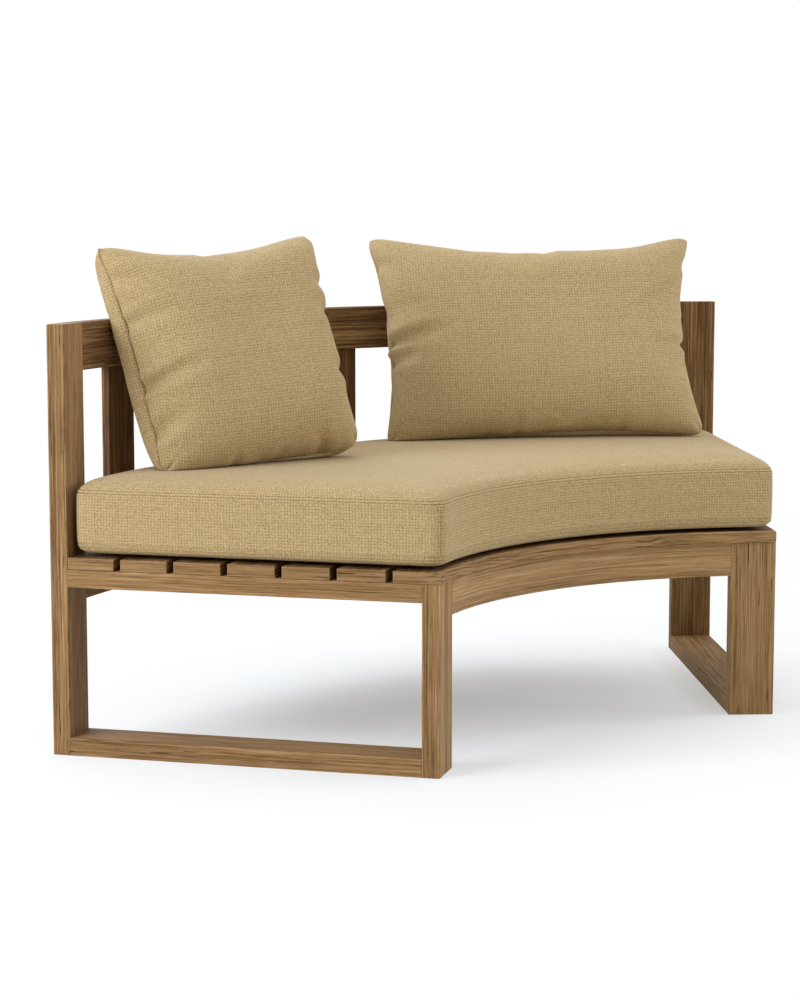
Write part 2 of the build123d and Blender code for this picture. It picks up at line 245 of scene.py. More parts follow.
def teak(name, section, turn=None, arc=None, upright=False, seed=0.0,
         deep=0.0, figure=0.0, slat_shade_painted=False):
    """Weathered teak, with its grain along one member.

    u runs along the grain, or along the cut on cut ends, v and w across it. A curved member's u is
    its arc length and its v the radius. Bands, streaks, fibres and pores are noise stretched along
    u, checks the rare peaks of such noise, and figured wood's dark lines are bent waves. The
    section, its middle and half size, gives the distance to the nearest edge, dark in a joint and
    pale in patches along it, partly worn and partly a painted highlight. On seat slats painted
    shade darkens the tops behind the front edge and the sides in their gaps, under the cushion.
    """
    finish = Finish(name)
    x, y, z = finish.place()
    facing = finish.axes(finish.node("NewGeometry").outputs["True Normal"])
    facing_x, facing_y, facing_z = facing
    y = y - centre_y
    if arc:
        radius, angle = (x * x + y * y).root(), finish.math("ARCTAN2", x, y)
        u, v, w = angle * arc, radius, z
        cut = abs((facing_x * y - facing_y * x) / radius)
    else:
        u, v, w = grain_axes(x, y, z, turn, upright)
        cut = abs(grain_axes(*facing, turn, upright)[0])

    def layer(along, across, detail, roughness):
        """Noise drawn out along the grain."""
        return finish.noise(u * along, v * across, w * across, detail, roughness)

    cut = cut.over(0.75, 0.95)
    middle_v, half_v, middle_w, half_w = section
    edge = (half_v - abs(v - middle_v)).greater(half_w - abs(w - middle_w))
    u = u + (v - u) * cut + seed * seed_along
    v = v * (1.0 - cut) + seed * seed_across
    sway = layer(*sway_layer) - 0.5
    v = v + sway * (plain_sway[0] + figured_sway[0] * figure)
    w = w + sway * (plain_sway[1] + figured_sway[1] * figure)
    bands, streaks, fibres = layer(*band_layer), layer(*streak_layer), layer(*fibre_layer)
    pores = layer(*pore_layer).over(0.60, 0.70)
    along, across, *fineness = check_layer
    checks = finish.noise(u * along, v * across + check_shift, w * across, *fineness)
    checks = checks.over(0.720, 0.765)
    # deep darkens a whole member: partly its own tone, partly painted shade
    tone = middle_tone - deep + (bands - 0.5) * band_tone
    tone = tone + (streaks - 0.5) * streak_tone + (fibres - 0.5) * fibre_tone
    tone = tone - pores * pore_tone - checks * check_tone - cut * cut_tone
    height = fibres * 0.5 + streaks * 0.5 - pores * 0.6 - checks * 1.2
    if figure:
        bent = layer(*bend_layer) * line_bend
        waves = (u * line_slant + w * line_cross + v * line_cross + bent) * (2 * pi / line_pitch)
        waves = waves.sine() * 0.5 + 0.5
        dark_lines = waves ** 7.0 * layer(*break_layer).over(0.40, 0.58)
        tone = tone - dark_lines * (line_tone * figure)
        height = height - dark_lines * 0.4
    # Painted shade: slat tops behind the front edge and slat sides in the gaps, where they lie in
    # shade under the cushion
    if slat_shade_painted:
        behind = radius.over(slat_front + painted_shade_from, slat_front + painted_shade_to)
        tops = facing_z.over(0.6, 0.9)
        sides = abs((facing_x * x + facing_y * y) / radius).over(0.6, 0.9)
        tone = tone - behind * (tops * painted_shade_top_tone + sides * painted_shade_side_tone)
    # Pale along the edges, in patches: partly wear, partly a painted highlight on the arrises
    wear_and_highlight = edge.over(*wear_and_highlight_reach) * layer(*patch_layer).over(0.32, 0.58)
    joint = edge.over(*joint_reach)
    colour = finish.ramp(tone + wear_and_highlight * wear_and_highlight_tone - joint * joint_tone, teak_tones)
    along, across, *fineness = warm_layer
    warmth = finish.noise(u * along, v * across, w * across + warm_shift, *fineness)
    warmth = warmth.over(0.40, 0.66) * warm_share
    finish.set(finish.surface, {
        "Base Color": finish.mix(warmth, colour, warm_tint, "MULTIPLY"),
        "Roughness": 0.66 + (streaks - 0.5) * 0.25,
        "Normal": finish.bump(height, 0.30 * MM, 0.5),
        "Specular IOR Level": 0.22,
    })
    return finish.owner


def screw_steel():
    """Plain stainless steel, finely scratched."""
    finish = Finish("screw_steel", Metallic=1.0)
    x, y, z = finish.place()
    scratches = finish.noise(x * 900.0, y * 900.0, z * 60.0, 2.0)
    finish.set(finish.surface, {
        "Base Color": finish.mix(scratches, (0.52, 0.52, 0.53), (0.64, 0.64, 0.65)),
        "Roughness": scratches.spread(0.28, 0.42),
    })
    return finish.owner


# Cover cloth: threads run in pairs, so one cell of the basket weave is this wide
seat_weave = 4.8 * MM
pillow_weave = 5.3 * MM
cloth_light = (0.538, 0.430, 0.248)
cloth_deep = (0.235, 0.148, 0.054)

# Its noises by their spots to a metre, and how far a row wanders as a share of a cell
drift_spots, thread_spots, slub_spots, hair_spots, cloud_spots = 60.0, 75.0, 470.0, 1900.0, 7.0
row_drift = 0.75

# How much paler or darker each part of the weave is, in steps of tone
cloth_tone, thread_tone, highlight_bead_tone, slub_tone = 0.68, 0.33, 0.46, 1.85
# The seams' darkening is painted shade, where the cloth folds into them
hair_tone, cloud_tone, gap_tone, seam_shade_tone = 0.34, 0.10, 0.09, 0.70
meeting_tone, spot_tone = 0.08, 0.50
warp_tint_tone, weft_tint_tone = 0.22, 0.34


def cloth(name, cell):
    """Basket weave on the piece's own weave map, which is in metres.

    p and q count threads across and along. sin(pi p) sin(pi q) is high in the middle of each
    crossing, and its sign says which thread lies on top. Gaps are soft dark lines, with a spot of
    its own darkness where four threads meet. Each thread has its tint and its thick and thin
    places, each crossing a painted highlight, its bead of light, and slubs of the yarn lie over
    all. The rows wander a little, and painted shade darkens the cloth near the seams, by the seam
    map.
    """
    finish = Finish(name, **{
        "Sheen Weight": 0.10, "Sheen Roughness": 0.5, "Specular IOR Level": 0.15,
    })
    weave = finish.node("UVMap", uv_map="weave").outputs[0]
    u, v, _ = finish.axes(weave)

    def spots(to_a_metre, level, *fineness):
        """Noise about zero in the plane of the cloth. Each level is another noise."""
        return finish.noise(u * to_a_metre, v * to_a_metre, level, *fineness) - 0.5

    p = (u + spots(drift_spots, 0.0, 3.0, 0.65) * (row_drift * cell)) / cell
    q = (v + spots(drift_spots, 5.0, 3.0, 0.65) * (row_drift * cell)) / cell
    over_p, over_q = (p * pi).sine(), (q * pi).sine()
    crossing = over_p * over_q
    on_top = crossing.over(-0.25, 0.25)
    gap = 1.0 - abs(crossing).over(0.0, 0.62)
    meeting = (1.0 - abs(over_p)) * (1.0 - abs(over_q))
    # Odd factors give each thread and each crossing a number, and so a chance, of its own
    warp, weft = p.floor(), q.floor()
    near_warp, near_weft = (p + 0.5).floor(), (q + 0.5).floor()
    spot = finish.chance(near_warp * 13.7 + near_weft * 91.3)
    # Painted highlight: a bead of light on each crossing, of random strength
    highlight_bead = crossing * crossing * finish.chance(warp * 17.3 + weft * 57.9 + 0.4)
    warp_tint = (finish.chance(warp) - 0.5) * warp_tint_tone
    weft_tint = (finish.chance(weft + 0.5) - 0.5) * weft_tint_tone
    warp_slub = finish.noise(warp * 3.7, v * thread_spots, 1.0, 1.0) - 0.5
    weft_slub = finish.noise(u * thread_spots, weft * 3.7, 2.0, 1.0) - 0.5
    thread = on_top * (warp_tint + warp_slub) + (1.0 - on_top) * (weft_tint + weft_slub)
    hairs, cloud = spots(hair_spots, 0.0, 2.0), spots(cloud_spots, 9.0, 2.0)
    seam = finish.value("Attribute", {}, "Fac", attribute_name="seam")
    tone = cloth_tone + thread * thread_tone + highlight_bead * highlight_bead_tone
    tone = tone + spots(slub_spots, 4.0, 1.0) * slub_tone + hairs * hair_tone + cloud * cloud_tone
    # Painted shade near the seams
    tone = tone - gap * gap_tone - meeting * (meeting_tone + spot * spot_tone) - seam * seam_shade_tone
    height = abs(crossing) ** 0.6 * 0.8 + thread * 0.25 + hairs * 0.12 - meeting * 0.3
    finish.set(finish.surface, {
        "Base Color": finish.mix(tone.over(-0.15, 1.15), cloth_deep, cloth_light),
        "Roughness": 0.88 + hairs * 0.1,
        "Normal": finish.bump(height, 0.45 * MM, 0.6),
    })
    return finish.owner


twist_pitch = 0.0011


def stitching_thread():
    """Twisted thread, darker than the cloth."""
    finish = Finish("stitching_thread", **{"Specular IOR Level": 0.25})
    x, y, z = finish.place()
    twist = ((x + y + z) * (2 * pi / twist_pitch)).sine() * 0.5 + 0.5
    finish.set(finish.surface, {
        "Base Color": finish.mix(twist, (0.150, 0.092, 0.040), (0.285, 0.192, 0.092)),
        "Roughness": 0.7 + twist * 0.15,
    })
    return finish.owner


# How a piece is made

def placed(name, data):
    """An object in the scene, of a mesh, a lamp or a camera."""
    piece = bpy.data.objects.new(name, data)
    bpy.context.scene.collection.objects.link(piece)
    return piece


def placed_mesh(name, points, faces):
    """A mesh of points and faces, as an object in the scene."""
    mesh = bpy.data.meshes.new(name)
    mesh.from_pydata(points, [], faces)
    mesh.update()
    return placed(name, mesh)


def mesh_piece(name, points, faces, body, material, weave=None, seam=None):
    """A piece from points and faces.

    The weave map gives a place on the cloth for each corner of a face, and the seam map how near
    each point lies to a seam.
    """
    piece = placed_mesh(name, points, faces)
    mesh = piece.data
    if weave is not None:
        layer = mesh.uv_layers.new(name="weave")
        layer.data.foreach_set("uv", weave.reshape(-1).astype(np.float32))
    if seam is not None:
        near = mesh.attributes.new("seam", "FLOAT", "POINT")
        near.data.foreach_set("value", seam.astype(np.float32))
    mesh.shade_smooth()
    mesh.materials.append(material)
    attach(piece, body)
    return piece


def places_of(mesh):
    """The places of a mesh's points."""
    places = np.empty(3 * len(mesh.vertices), np.float32)
    mesh.vertices.foreach_get("co", places)
    return places.reshape(-1, 3)


def numbered(*shape):
    """The numbers of a grid's points, row after row."""
    return np.arange(np.prod(shape)).reshape(shape)


def patch_faces(index):
    """Quads of a grid of point numbers, counter-clockwise if its axes run right and up."""
    corners = index[:-1, :-1], index[1:, :-1], index[1:, 1:], index[:-1, 1:]
    return np.stack(corners, axis=-1).reshape(-1, 4)


def rim_of(index):
    """The point numbers round the edge of a grid, counter-clockwise, each once."""
    return np.concatenate([index[:-1, 0], index[-1, :-1], index[:0:-1, -1], index[0, :0:-1]])


def corners_of(grid, faces):
    """The values of a table at the corners of faces."""
    return grid.reshape(-1, grid.shape[-1])[faces]


def all_points(*parts):
    """The points of several grids in one list."""
    return np.concatenate([part.reshape(-1, 3) for part in parts])


def unit(vectors):
    """Vectors brought to a length of one."""
    return vectors / np.maximum(np.linalg.norm(vectors, axis=-1, keepdims=True), 1e-9)


def bell(distance, width):
    """A bell curve, exp(-(distance / width)^2)."""
    return np.exp(-((distance / width) ** 2))


def running(steps):
    """Running totals of steps, from nought."""
    return np.concatenate([[0], np.cumsum(steps)])


def subdivided(piece):
    """One finishing subdivision, the same in the view and in renders."""
    modifier = piece.modifiers.new("smooth", "SUBSURF")
    modifier.levels = modifier.render_levels = 1


# Filling and sewing

cloth_frames = 16
cushion_growth, cushion_cap = 0.02, 0.007
pillow_growth, pillow_cap = 0.045, 0.012


def weights(wanted, given, spread):
    """How much each given place counts at each wanted one: a bell curve, summing to one."""
    nearness = bell(np.asarray(wanted)[:, None] - np.asarray(given)[None, :], spread)
    return nearness / nearness.sum(axis=1, keepdims=True)


def filled(points, faces, growth, cap):
    """How far Blender's Cloth moves each point of a closed skin whose filling presses outwards.

    The skin is a share larger than its shape and has no weight. A move m is shortened to
    m cap / (cap + |m|).
    """
    scene = bpy.context.scene
    skin = placed_mesh("skin", points, faces)
    mesh = skin.data
    modifier = skin.modifiers.new("filling", "CLOTH")
    settings = modifier.settings
    settings.quality, settings.mass = 5, 0.3
    settings.tension_stiffness = settings.compression_stiffness = 40.0
    settings.shear_stiffness, settings.bending_stiffness = 20.0, 0.5
    settings.use_pressure, settings.uniform_pressure_force = True, 4.0
    settings.effector_weights.gravity = 0.0
    settings.shrink_min = -growth
    modifier.point_cache.frame_start, modifier.point_cache.frame_end = 1, cloth_frames + 1
    for step in range(1, cloth_frames + 1):
        scene.frame_set(step)
    solved = skin.evaluated_get(bpy.context.evaluated_depsgraph_get())
    move = places_of(solved.data) - points
    bpy.data.objects.remove(skin)
    bpy.data.meshes.remove(mesh)
    scene.frame_set(1)
    return move * cap / (cap + np.linalg.norm(move, axis=1, keepdims=True))


def wrinkles(move, reach):
    """What is local in a grid of moves: the moves less their mean over so many rows either way."""
    rows, columns = (np.arange(count) for count in move.shape[:2])
    down, across = weights(rows, rows, reach), weights(columns, columns, reach)
    return move - np.einsum("ai,ijk,bj->abk", down, move, across)


def soft_excess(excess, softness):
    """The excess where it is above zero, nothing below, and a soft corner between."""
    return softness * np.logaddexp(0, excess / softness)


def unevenness(x, y, size, seed):
    """Soft lumps: twelve waves in seeded directions and phases, of about the given size."""
    waves = 12
    chance = np.random.default_rng(seed)
    heading, phase = chance.uniform(0, 2 * pi, (2, waves))
    length = size * chance.uniform(0.7, 1.8, waves)
    ways = x[..., None] * np.cos(heading) + y[..., None] * np.sin(heading)
    return np.sin(ways * (2 * pi / length) + phase).mean(axis=-1) * 2


# A stitch: places along it and the sides of its section, and the pitch, length and thickness of
# the rows round the cushion and of the finer ones up its corners
stitch_places = np.array((-1.0, -0.8, 0.0, 0.8, 1.0))
stitch_sides = 6
stitch_pitch = 4.0 * MM
row_stitch = 3.1 * MM, 0.42 * MM
corner_stitch = 2.0 * MM, 0.28 * MM


def stitches(name, path, out, stitch):
    """Thread along a seam of the cushion: each stitch is a short bar that dives at both ends.

    The path is walked at even steps. Along each stitch a runs -1 to 1, the bar stands off by
    0.35 - 1.1 a^4 of its thickness, and its flat section shrinks with a^6.
    """
    length, thick = stitch
    reach = running(np.linalg.norm(np.diff(path, axis=0), axis=1))
    count = int(reach[-1] / stitch_pitch)
    middles = (np.arange(count) + 0.5) * reach[-1] / count

    def at(table, places):
        return np.stack([np.interp(places, reach, table[:, axis]) for axis in range(3)], axis=-1)

    centre, away = at(path, middles), unit(at(out, middles))
    along = unit(at(path, middles + length / 4) - at(path, middles - length / 4))
    aside = np.cross(along, away)
    a = stitch_places[None, :, None, None]
    turn = (np.arange(stitch_sides) * (2 * pi / stitch_sides))[None, None, :, None]
    section = thick * (1 - 0.55 * np.abs(a) ** 6)
    along, away, aside, centre = (part[:, None, None, :] for part in (along, away, aside, centre))
    lift = thick * (0.35 - 1.1 * np.abs(a) ** 4)
    points = centre + along * (a * length / 2) + away * lift
    points = points + section * (away * np.cos(turn) + aside * np.sin(turn) * 1.5)
    index = numbered(*points.shape[:3])
    closed = np.concatenate([index, index[:, :, :1]], axis=2)
    sides = closed[:, :-1, :-1], closed[:, 1:, :-1], closed[:, 1:, 1:], closed[:, :-1, 1:]
    faces = np.stack(sides, axis=-1).reshape(-1, 4).tolist()
    faces += np.concatenate([index[:, 0], index[:, -1, ::-1]]).tolist()
    name = f"seat_cushion_{name}_stitches"
    mesh_piece(name, points.reshape(-1, 3), faces, "seat_cushion", seam_thread)


# Seat cushion

cushion_thickness = 0.1245
cushion_crown = 0.0075
cushion_front = inner_radius - 0.005
cushion_back = outer_radius - board_thickness - 0.007
cushion_end = 0.004
cushion_bottom = seat_top + 0.3 * MM
cushion_corner = 0.011
crown_reach = 0.060
swell, swell_reach = 0.005, 0.26
top_roll, top_roll_height = 0.020, 0.024
low_roll, low_roll_height = 0.0115, 0.014
low_lift, low_lift_reach = 0.0066, 0.075
side_bulge = 0.0015
roll_end = 0.955

# Heights of the rows of stitches and of the rows up the corners, and how deep and wide the first
# pinch the cloth and puff it between
stitch_rows = {"bottom_low": 0.0170, "bottom_high": 0.0225, "top_low": 0.1058, "top_high": 0.1105}
pinch_depth, pinch_width = 0.0010, 0.9 * MM
puff_depth, puff_width = 0.0004, 1.6 * MM
between_top_rows = (stitch_rows["top_low"] + stitch_rows["top_high"]) / 2
corner_row = 0.024, 0.104

# Counts of the panels' grid, and the heights of the plain form that Cloth fills
cushion_columns, cushion_rows = 97, 41
plain_heights = np.concatenate([
    [low_lift, 0.008], np.linspace(0.014, 0.106, 9), [0.117, cushion_thickness],
])
wrinkle_reach, wrinkle_overlap = 5.0, 12
wrinkle_fade, wrinkle_carry = 0.012, 0.006


def rolled(share):
    """A roll's way in, 0 to 1, as its share of the height runs from upright to nearly level.

    It is 1 - (1 - q^2)^0.62, with q the share of nearly the whole roll.
    """
    return (1 - (1 - (roll_end * share) ** 2) ** 0.62) / (1 - (1 - roll_end**2) ** 0.62)


def side_inset(height):
    """How far the side is drawn in at a height: its top and bottom rolls and a bulge between."""
    top = np.clip(1 - (cushion_thickness - height) / top_roll_height, 0, 1)
    low = np.clip(1 - (height - low_lift) / low_roll_height, 0, 1)
    bulge = side_bulge * (2 * height / cushion_thickness - 1) ** 2
    return top_roll * rolled(top) + low_roll * rolled(low) + bulge


def groove(height):
    """How far the side is drawn in at a height by its rows of stitches, each a narrow bell."""
    pinch = sum(pinch_depth * bell(height - row, pinch_width) for row in stitch_rows.values())
    return pinch - puff_depth * bell(height - between_top_rows, puff_width)


def cushion_plan(across, deep, inset):
    """A point of the seat's plan: across runs -1 to 1 between its ends, deep 0 to 1 to its back.

    The edge of an end is parallel to the bench's end. All is drawn in by the inset, and the
    corners are pulled in to a small round.
    """
    radius = cushion_front + inset + deep * (cushion_back - cushion_front - 2 * inset)
    reach = radians(half_angle) - np.arcsin((cushion_end + inset) / radius)
    x, y = radius * np.sin(across * reach), radius * np.cos(across * reach)
    from_end = (1 - np.abs(across)) * reach * radius
    from_edge = np.minimum(deep, 1 - deep) * (cushion_back - cushion_front)
    soft = cushion_corner * 2.2
    pull = np.clip(1 - from_end / soft, 0, 1) ** 2 * np.clip(1 - from_edge / soft, 0, 1) ** 2
    pull = pull * cushion_corner * 0.6
    end_x, end_y = np.sign(across) * cos(radians(half_angle)), -sin(radians(half_angle))
    out = np.where(deep > 0.5, 1.0, -1.0)
    x = x - pull * (end_x + out * np.sin(across * reach))
    y = y - pull * (end_y + out * np.cos(across * reach))
    return x, y


def from_rim(x, y, inset):
    """The distance to a panel's rim: to its ends, d, and edges, e, as (d^-3 + e^-3)^(-1/3)."""
    radius = np.hypot(x, y)
    to_end = np.sin(radians(half_angle) - np.abs(np.arctan2(x, y)))
    end = radius * to_end - cushion_end - inset
    edge = np.minimum(radius - cushion_front, cushion_back - radius) - inset
    return (np.maximum(end, 1e-6) ** -3 + np.maximum(edge, 1e-6) ** -3) ** (-1 / 3)


def cushion_rise(x, y):
    """The top panel's height over its rim: a crown, 1 - (1 - d)^2.5, d the distance to the rim, and
    a lower and wider swell, 1 - (1 - e)^2, which ends further in.
    """
    near = from_rim(x, y, top_roll)
    crown = cushion_crown * (1 - (1 - np.clip(near / crown_reach, 0, 1)) ** 2.5)
    return crown + swell * (1 - (1 - np.clip(near / swell_reach, 0, 1)) ** 2)


def cushion_panels(across, deep, insets):
    """The top and bottom panels' grids.

    The bottom lies on the slats but for its rim, which is lifted by (1 - d)^2, d its distance in.
    """
    top_x, top_y = cushion_plan(across, deep, insets[-1])
    low_x, low_y = cushion_plan(across, deep, insets[0])
    top = np.stack([top_x, top_y, cushion_thickness + cushion_rise(top_x, top_y)], axis=-1)
    near = np.clip(from_rim(low_x, low_y, insets[0]) / low_lift_reach, 0, 1)
    return top, np.stack([low_x, low_y, low_lift * (1 - near) ** 2], axis=-1)


def border_rows(across, deep, heights, extra=0.0):
    """Rows of the border's points at heights, drawn in by something extra."""
    x, y = cushion_plan(across, deep, (side_inset(heights) + extra)[:, None])
    return np.stack([x, y, np.broadcast_to(heights[:, None], x.shape)], axis=-1)


def boxed_faces(across, border, rim):
    """Faces of the two panels and the border, numbered through top, bottom and border in turn."""
    count = across.size
    top_index = numbered(*across.shape)
    rows = [rim + count]
    rows += [2 * count + row * rim.size + np.arange(rim.size) for row in range(len(border))]
    rows.append(rim)
    loops = np.stack([np.append(row, row[0]) for row in rows])
    bottom_index = top_index + count
    return patch_faces(top_index), patch_faces(bottom_index)[:, ::-1], patch_faces(loops.T)


def cushion_wrinkles(across, deep, rim):
    """The wrinkles that Cloth makes in a plain form of the cushion: its top's and its border's.

    The top's fade towards its rim by 1 - exp(-(r / 1.5)^2), with r the rows to it.
    """
    panels = cushion_panels(across, deep, side_inset(plain_heights))
    border = border_rows(across.reshape(-1)[rim], deep.reshape(-1)[rim], plain_heights[1:-1])
    faces = np.concatenate(boxed_faces(across, border, rim))
    move = filled(all_points(*panels, border), faces, cushion_growth, cushion_cap)
    inner, sides = np.split(move, [2 * across.size])
    top_rim, bottom_rim = inner.reshape(2, -1, 3)[:, rim]
    sides = np.concatenate([bottom_rim[None], sides.reshape(border.shape), top_rim[None]])
    rows_in = np.minimum((1 - np.abs(across)) * ((cushion_columns - 1) / 2),
                         np.minimum(deep, 1 - deep) * (cushion_rows - 1))
    steady = (1 - bell(rows_in, 1.5))[..., None]
    top_moves = inner[:across.size].reshape(*across.shape, 3)
    round_again = np.arange(-wrinkle_overlap, rim.size + wrinkle_overlap) % rim.size
    side_wrinkles = wrinkles(sides[:, round_again], wrinkle_reach)
    side_wrinkles = side_wrinkles[:, wrinkle_overlap:-wrinkle_overlap]
    return wrinkles(top_moves, wrinkle_reach) * steady, side_wrinkles


def cushion_heights():
    """Heights of the border's rows, closer beside the stitches and where the border rolls over."""
    steps = 1 - (1 - np.linspace(0, 1, 9)) ** 2.2
    beside = np.array((-1.1, 0.0, 1.1)) * MM
    below = -3.2 * MM
    low_end, top_start = stitch_rows["bottom_low"] + below, 0.1130
    return np.unique(np.concatenate([
        low_lift + (low_end - low_lift) * (1 - steps),
        *(row + beside for row in stitch_rows.values()),
        np.linspace(0.026, 0.099, 10),
        [stitch_rows["top_low"] + below, between_top_rows],
        top_start + (cushion_thickness - top_start) * steps,
    ]).round(6))


def cushion_weave(top, bottom, heights, insets, rim, top_faces, low_faces):
    """The weave map: the panels' plan, and on the border the way round the rim and up the side."""
    rim_points = top.reshape(-1, 3)[np.append(rim, rim[0])]
    lengths = running(np.linalg.norm(np.diff(rim_points, axis=0), axis=1))
    climbs = running(np.hypot(np.diff(insets), np.diff(heights)))
    border = np.stack(np.broadcast_arrays(lengths[:, None], climbs[None, :]), axis=-1)
    border_faces = patch_faces(numbered(lengths.size, heights.size))
    plan = all_points(top, bottom)[:, :2]
    return np.concatenate([plan[top_faces], plan[low_faces], corners_of(border, border_faces)])


def seat_cushion():
    """A boxed cushion: top and bottom panels, grids over the plan, and a border between their rims.

    The wrinkles that Cloth makes in a plain form with few rows go on to the finished form, whose
    border also has its grooves, but not on to its rims or through the slats.
    """
    across = np.linspace(-1, 1, cushion_columns)[:, None]
    deep = np.linspace(0, 1, cushion_rows)[None, :]
    across, deep = np.broadcast_arrays(across, deep)
    rim = rim_of(numbered(*across.shape))
    rim_across, rim_deep = across.reshape(-1)[rim], deep.reshape(-1)[rim]
    top_wrinkles, side_wrinkles = cushion_wrinkles(across, deep, rim)
    heights = cushion_heights()
    insets = side_inset(heights)
    top, bottom = cushion_panels(across, deep, insets)

    def side_points(at, extra):
        """Points of the border at heights, with their wrinkles, drawn in by something extra."""
        held = np.clip(np.minimum(at - low_lift, cushion_thickness - at) / wrinkle_fade, 0, 1)
        local = np.einsum("ai,ijk->ajk", weights(at, plain_heights, wrinkle_carry), side_wrinkles)
        return border_rows(rim_across, rim_deep, at, extra) + held[:, None, None] * local

    top = top + top_wrinkles
    border = side_points(heights[1:-1], groove(heights[1:-1]))
    faces = boxed_faces(across, border, rim)
    weave = cushion_weave(top, bottom, heights, insets, rim, *faces[:2])
    base = (0.0, centre_y, cushion_bottom)
    points, faces = all_points(top, bottom, border) + base, np.concatenate(faces)
    piece = mesh_piece("seat_cushion", points, faces, "seat_cushion", seat_cloth, weave)
    subdivided(piece)
    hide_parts("seat_cushion_cover", "seat_cushion_foam")
    for name, height in stitch_rows.items():
        at = height + np.array((-1.0, 0.0, 1.0)) * MM
        rows = side_points(at, groove(np.full(3, height)) * 0.9)
        rows = np.concatenate([rows, rows[:, :1]], axis=1) + base
        out = np.cross(np.gradient(rows[1], axis=0), rows[2] - rows[0])
        stitches(name, rows[1], out, row_stitch)
    corner_stitches(side_points, across, rim, base)


def corner_stitches(side_points, across, rim, base):
    """A row of stitches up each corner of the border, where its lengths are joined."""
    at = np.linspace(*corner_row, 40)
    rows = side_points(at, np.zeros_like(at))
    wide, far = across.shape[0] - 1, across.shape[1] - 1
    corners = {"front_left": 0, "front_right": wide, "back_right": wide + far,
               "back_left": 2 * wide + far}
    for name, corner in corners.items():
        path = rows[:, corner] + base
        run = rows[:, (corner + 1) % rim.size] - rows[:, corner - 1]
        out = np.cross(run, np.gradient(path, axis=0))
        stitches(name, path, out, corner_stitch)


# Pillows

pillow_rows = 64
seam_row_shares = np.array((0.62, 0.82, 0.95))
pillow_corner = 0.032
seam_nip, nip_reach, seam_reach = 4.0 * MM, 2.0 * MM, 1.3 * MM
lump_size, lump_height = 0.13, 0.0022
hold_reach = 3.0 * MM
local_reach, local_carry = 7.0, 0.75
back_weave_shift = 0.7
rail_face = back_radius - board_thickness
rail_top_slope = 1.2
clearance = 1.0 * MM
soft_back, soft_bottom = 2.5 * MM, 1.5 * MM

# Each pillow, in metres: its size from tip to tip with its thickness, and its middle from the
# round's centre. In degrees: its bearing on the round, its turn from facing the centre, its lean
# and roll. In mm: how far its left, right, bottom and top edges are drawn in, how far each panel
# swells past those seams, the tips' shifts, clockwise from the top left, and the sag of the top
# edge, which sag_lean deepens on the left. back_share is the back's stand over the front's, and
# gentle_left lets the front rise slowly from its left seam. A crease, in mm, is two points of the
# front panel, from the seam inwards, its half width and its depth.
square_pillow = dict(
    size=(0.410, 0.410, 0.1565), middle=(-0.4131, 1.0629, 0.6540),
    angles=(-19.2, -24.8, 22.6, 2.6), drawn_in=(18.6, 25.7, 3.5, 18.3),
    swell=(4.0, 13.1, 0.2, 2.8), back_swell=(25.9, 13.1, 22.0, 2.8),
    tips=((-10.5, 9.2), (10.6, 3.5), (3.0, 9.0), (10.0, -8.0)),
    sag=19.7, sag_lean=0.5, back_share=0.98, gentle_left=1.0,
    creases=(
        (-184, -51, -84, -28, 8.5, 13.0), (-196, 60, -100, 70, 9.0, 8.0),
        (-204, -140, -130, -102, 10.0, 14.0), (188, 42, 140, 62, 9.0, 7.0),
        (192, -66, 146, -46, 9.0, 7.5), (190, 96, 150, 104, 9.0, 6.0),
        (-190, 140, -150, 118, 9.0, 5.5), (120, -200, 96, -150, 10.0, 5.0),
        (-60, -204, -50, -160, 9.0, 4.5),
    ),
)
lumbar_pillow = dict(
    size=(0.620, 0.410, 0.147), middle=(0.3148, 1.0840, 0.6494),
    angles=(16.7, -13.4, 23.7, 0.8), drawn_in=(26.5, 33.9, 18.3, 16.3),
    swell=(3.0, 0.0, 5.4, 5.4), back_swell=(3.0, 0.0, 16.0, 5.4),
    tips=((-13.0, 14.0), (17.0, 3.0), (4.0, -1.0), (-6.5, -10.0)),
    sag=23.3, sag_lean=0.0, back_share=0.81, gentle_left=0.0,
    creases=(
        (-284, -9, -184, 3, 9.0, 15.0), (-280, -46, -244, -34, 9.0, 10.0),
        (22, 172, 12, 112, 16.0, 3.0), (280, -26, 214, -36, 7.0, 7.0),
        (-300, 150, -262, 128, 8.0, 4.0), (292, 140, 250, 120, 9.0, 4.0),
        (-60, -196, -48, -150, 10.0, 4.0), (150, -196, 138, -156, 9.0, 3.6),
    ),
)


def pillow_axes(bearing, turn, lean, roll):
    """Right, top and front of a pillow that faces the round's centre, then turns, leans, rolls."""
    heading, lean, roll = radians(turn - bearing), radians(lean), radians(roll)
    facing = np.array((sin(heading), -cos(heading), 0.0))
    sideways = np.array((cos(heading), sin(heading), 0.0))
    up = np.array((0.0, 0.0, 1.0))
    front = facing * cos(lean) + up * sin(lean)
    top = up * cos(lean) - facing * sin(lean)
    right = sideways * cos(roll) + top * sin(roll)
    return np.stack([right, np.cross(front, right), front])


def even_rows(cells):
    """Places from -1 to 1 across a pillow, evenly spaced along its rounded section."""
    share = np.linspace(0, 1, 2001)
    rise = 0.4 * (1 - share**5) ** (1 / 2.2)
    reach = running(np.hypot(np.diff(share), np.diff(rise)))
    half = np.interp(np.linspace(0, 1, cells // 2 + 1), reach / reach[-1], share)
    return np.concatenate([-half[:0:-1], half])


